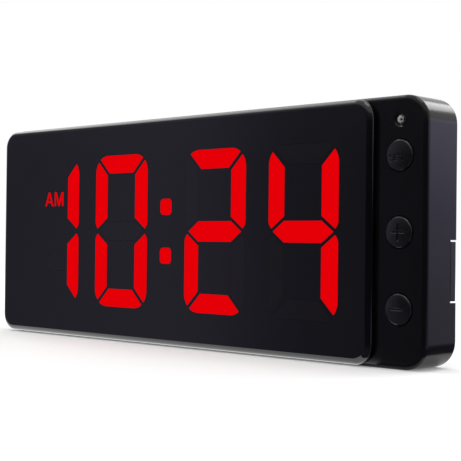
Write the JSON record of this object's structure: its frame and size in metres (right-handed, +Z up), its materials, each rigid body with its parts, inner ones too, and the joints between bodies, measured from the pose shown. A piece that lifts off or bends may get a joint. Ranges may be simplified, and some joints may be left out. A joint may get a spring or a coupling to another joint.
{
  "type": "digital clock",
  "caption": "Slim digital clock with large lit red segment digits in a raised gloss window, side push buttons, light sensor and sliding battery door.",
  "frame": {"origin": "middle of the underside of the whole clock", "axes": "+X along the clock towards the buttons, the face looks along -Y, +Z up"},
  "size_m": [0.25, 0.0234, 0.1],
  "materials": {
    "case_satin": "satin black moulded ABS",
    "cover_satin": "fine spark-eroded texture",
    "window_gloss": "high gloss black acrylic",
    "lit_red": "lit red acrylic",
    "smoked_dark": "smoked acrylic, unlit",
    "foam_black": "adhesive foam",
    "diffuser_white": "frosted film",
    "reflector_white": "white moulded",
    "board_green": "solder mask over glass epoxy",
    "led_white": "moulded lamp",
    "chip_black": "moulded epoxy",
    "bright_steel": "tin plated",
    "screw_steel": "black zinc",
    "can_aluminium": "drawn can",
    "clear_lens": "clear epoxy",
    "cell_jacket": "gloss sleeve",
    "lead_red": "PVC insulation",
    "button_satin": "fine satin black",
    "plunger_grey": "moulded nylon"
  },
  "bodies": {
    "clock": {"front_case": "case_satin", "display_window": "window_gloss", "window_gasket": "foam_black", "diffuser_sheet": "diffuser_white", "lit_segments": "lit_red", "unlit_segments": "smoked_dark", "colon_dots": "lit_red", "period_windows": "smoked_dark", "reflector": "reflector_white", "display_board": "board_green", "segment_leds": "led_white", "driver_chips": "chip_black", "clock_crystal": "bright_steel", "smoothing_capacitor": "can_aluminium", "button_board": "board_green", "tact_switches": "chip_black", "board_link": "chip_black", "light_sensor": "clear_lens", "sensor_leads": "bright_steel", "board_screws": "screw_steel", "rear_cover": "cover_satin", "case_screws": "screw_steel", "aaa_cells": "cell_jacket", "bridge_contact": "bright_steel", "spring_contact": "bright_steel", "plate_contact": "bright_steel", "battery_leads": "lead_red", "power_inlet": "bright_steel"},
    "set_key": {"set_button": "button_satin", "set_plunger": "plunger_grey"},
    "plus_key": {"plus_button": "button_satin", "plus_plunger": "plunger_grey"},
    "minus_key": {"minus_button": "button_satin", "minus_plunger": "plunger_grey"},
    "door": {"battery_door": "cover_satin"}
  },
  "joints": [
    {"name": "set_press", "type": "slide", "parent": "clock", "child": "set_key", "axis": [0, 1, 0], "range_m": [0, 0.0005], "stiffness_N_per_m": 3000, "springref_m": -0.0003},
    {"name": "plus_press", "type": "slide", "parent": "clock", "child": "plus_key", "axis": [0, 1, 0], "range_m": [0, 0.0005], "stiffness_N_per_m": 3000, "springref_m": -0.0003},
    {"name": "minus_press", "type": "slide", "parent": "clock", "child": "minus_key", "axis": [0, 1, 0], "range_m": [0, 0.0005], "stiffness_N_per_m": 3000, "springref_m": -0.0003},
    {"name": "door_slide", "type": "slide", "parent": "clock", "child": "door", "axis": [1, 0, 0], "range_m": [0, 0.069]}
  ]
}
